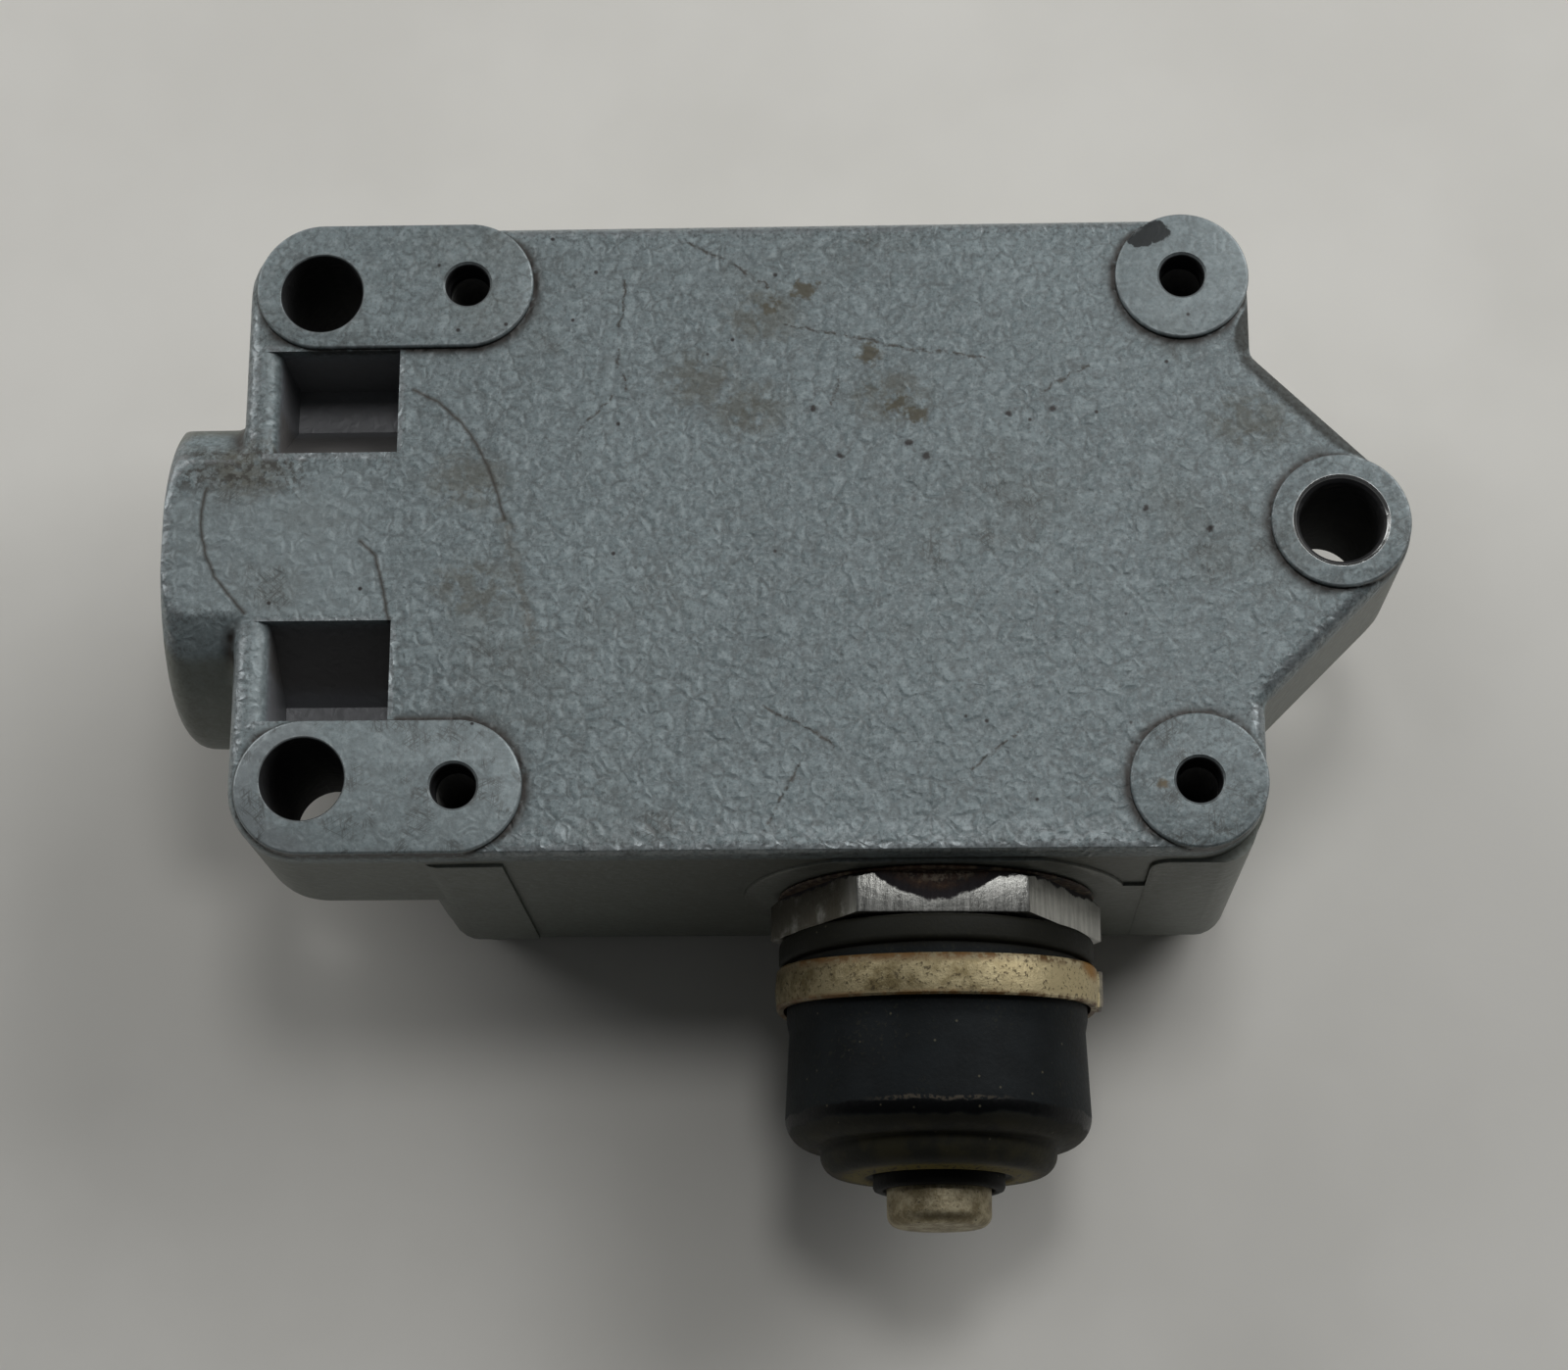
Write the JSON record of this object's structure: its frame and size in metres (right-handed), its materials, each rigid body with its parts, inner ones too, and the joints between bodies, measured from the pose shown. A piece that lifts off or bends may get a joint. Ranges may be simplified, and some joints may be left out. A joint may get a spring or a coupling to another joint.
{
  "type": "limit switch",
  "caption": "Sealed plunger limit switch in a die-cast housing with mounting ears, a conduit hub, a rubber-booted push button and a snap switch inside.",
  "frame": {"origin": "on the housing's centre lines, at the flat outer face of the front cover that the switch lies on", "axes": "+X from the conduit hub to the nose, +Y away from the plunger, +Z out of the mounting back face"},
  "size_m": [0.1085, 0.0873, 0.0389],
  "materials": {
    "casting_paint": "silver-grey hammertone paint on an aluminium die casting, stained and worn to bare metal at edges",
    "gasket_cork": "dark pressed cork and rubber sheet",
    "seal_fibre": "brown vulcanised fibre",
    "plated_steel": "dull plated steel with tool marks",
    "spring_steel": "drawn spring wire and strip",
    "boot_rubber": "black moulded rubber, dusty",
    "band_brass": "dull corroded brass strip",
    "button_nickel": "worn nickel-plated brass",
    "case_phenolic": "dark brown moulded phenolic",
    "pin_plastic": "red-brown moulded plastic",
    "terminal_brass": "stamped brass strip",
    "contact_silver": "silver contact rivet"
  },
  "bodies": {
    "housing_body": {"housing": "casting_paint", "cover": "casting_paint", "cover_gasket": "gasket_cork", "cover_liner": "seal_fibre", "cover_screw_1": "plated_steel", "cover_screw_2": "plated_steel", "cover_screw_3": "plated_steel", "cover_screw_4": "plated_steel", "bushing_seal": "seal_fibre", "plunger_bushing": "plated_steel", "spring_seat": "plated_steel", "seat_ring": "spring_steel", "return_spring": "spring_steel", "boot": "boot_rubber", "boot_clamp": "band_brass", "switch_case": "case_phenolic", "switch_base": "case_phenolic", "common_terminal": "terminal_brass", "open_terminal": "terminal_brass", "closed_terminal": "terminal_brass", "common_terminal_screw": "plated_steel", "open_terminal_screw": "plated_steel", "closed_terminal_screw": "plated_steel", "closed_contact": "contact_silver", "open_contact": "contact_silver", "case_screw_1": "plated_steel", "case_screw_2": "plated_steel"},
    "plunger_body": {"plunger_shaft": "plated_steel", "plunger_button": "button_nickel", "overtravel_spring": "spring_steel"},
    "tip_body": {"overtravel_tip": "plated_steel"},
    "pin_body": {"switch_pin": "pin_plastic"},
    "blade_body": {"contact_blade": "spring_steel", "moving_contact": "contact_silver"}
  },
  "joints": [
    {"name": "plunger_slide", "type": "slide", "parent": "housing_body", "child": "plunger_body", "axis": [0, 1, 0], "range_m": [0, 0.0056], "stiffness_N_per_m": 900, "springref_m": -0.006, "deforming": ["boot", "return_spring", "overtravel_spring"]},
    {"name": "tip_slide", "type": "slide", "parent": "housing_body", "child": "tip_body", "axis": [0, 1, 0], "range_m": [0, 0.00082]},
    {"name": "pin_slide", "type": "slide", "parent": "housing_body", "child": "pin_body", "axis": [0, 1, 0], "range_m": [0, 0.00082]},
    {"name": "blade_hinge", "type": "hinge", "parent": "housing_body", "child": "blade_body", "pos_m": [-0.018, -0.00225, 0.0214], "axis": [0, 0, 1], "range_deg": [0, 1.72]}
  ],
  "couplings": [
    {"joint": "tip_slide", "follows": "plunger_slide", "ratio": 0.14286},
    {"joint": "pin_slide", "follows": "plunger_slide", "ratio": 0.14286},
    {"joint": "blade_hinge", "follows": "plunger_slide", "rad_per_m": 5.298}
  ]
}
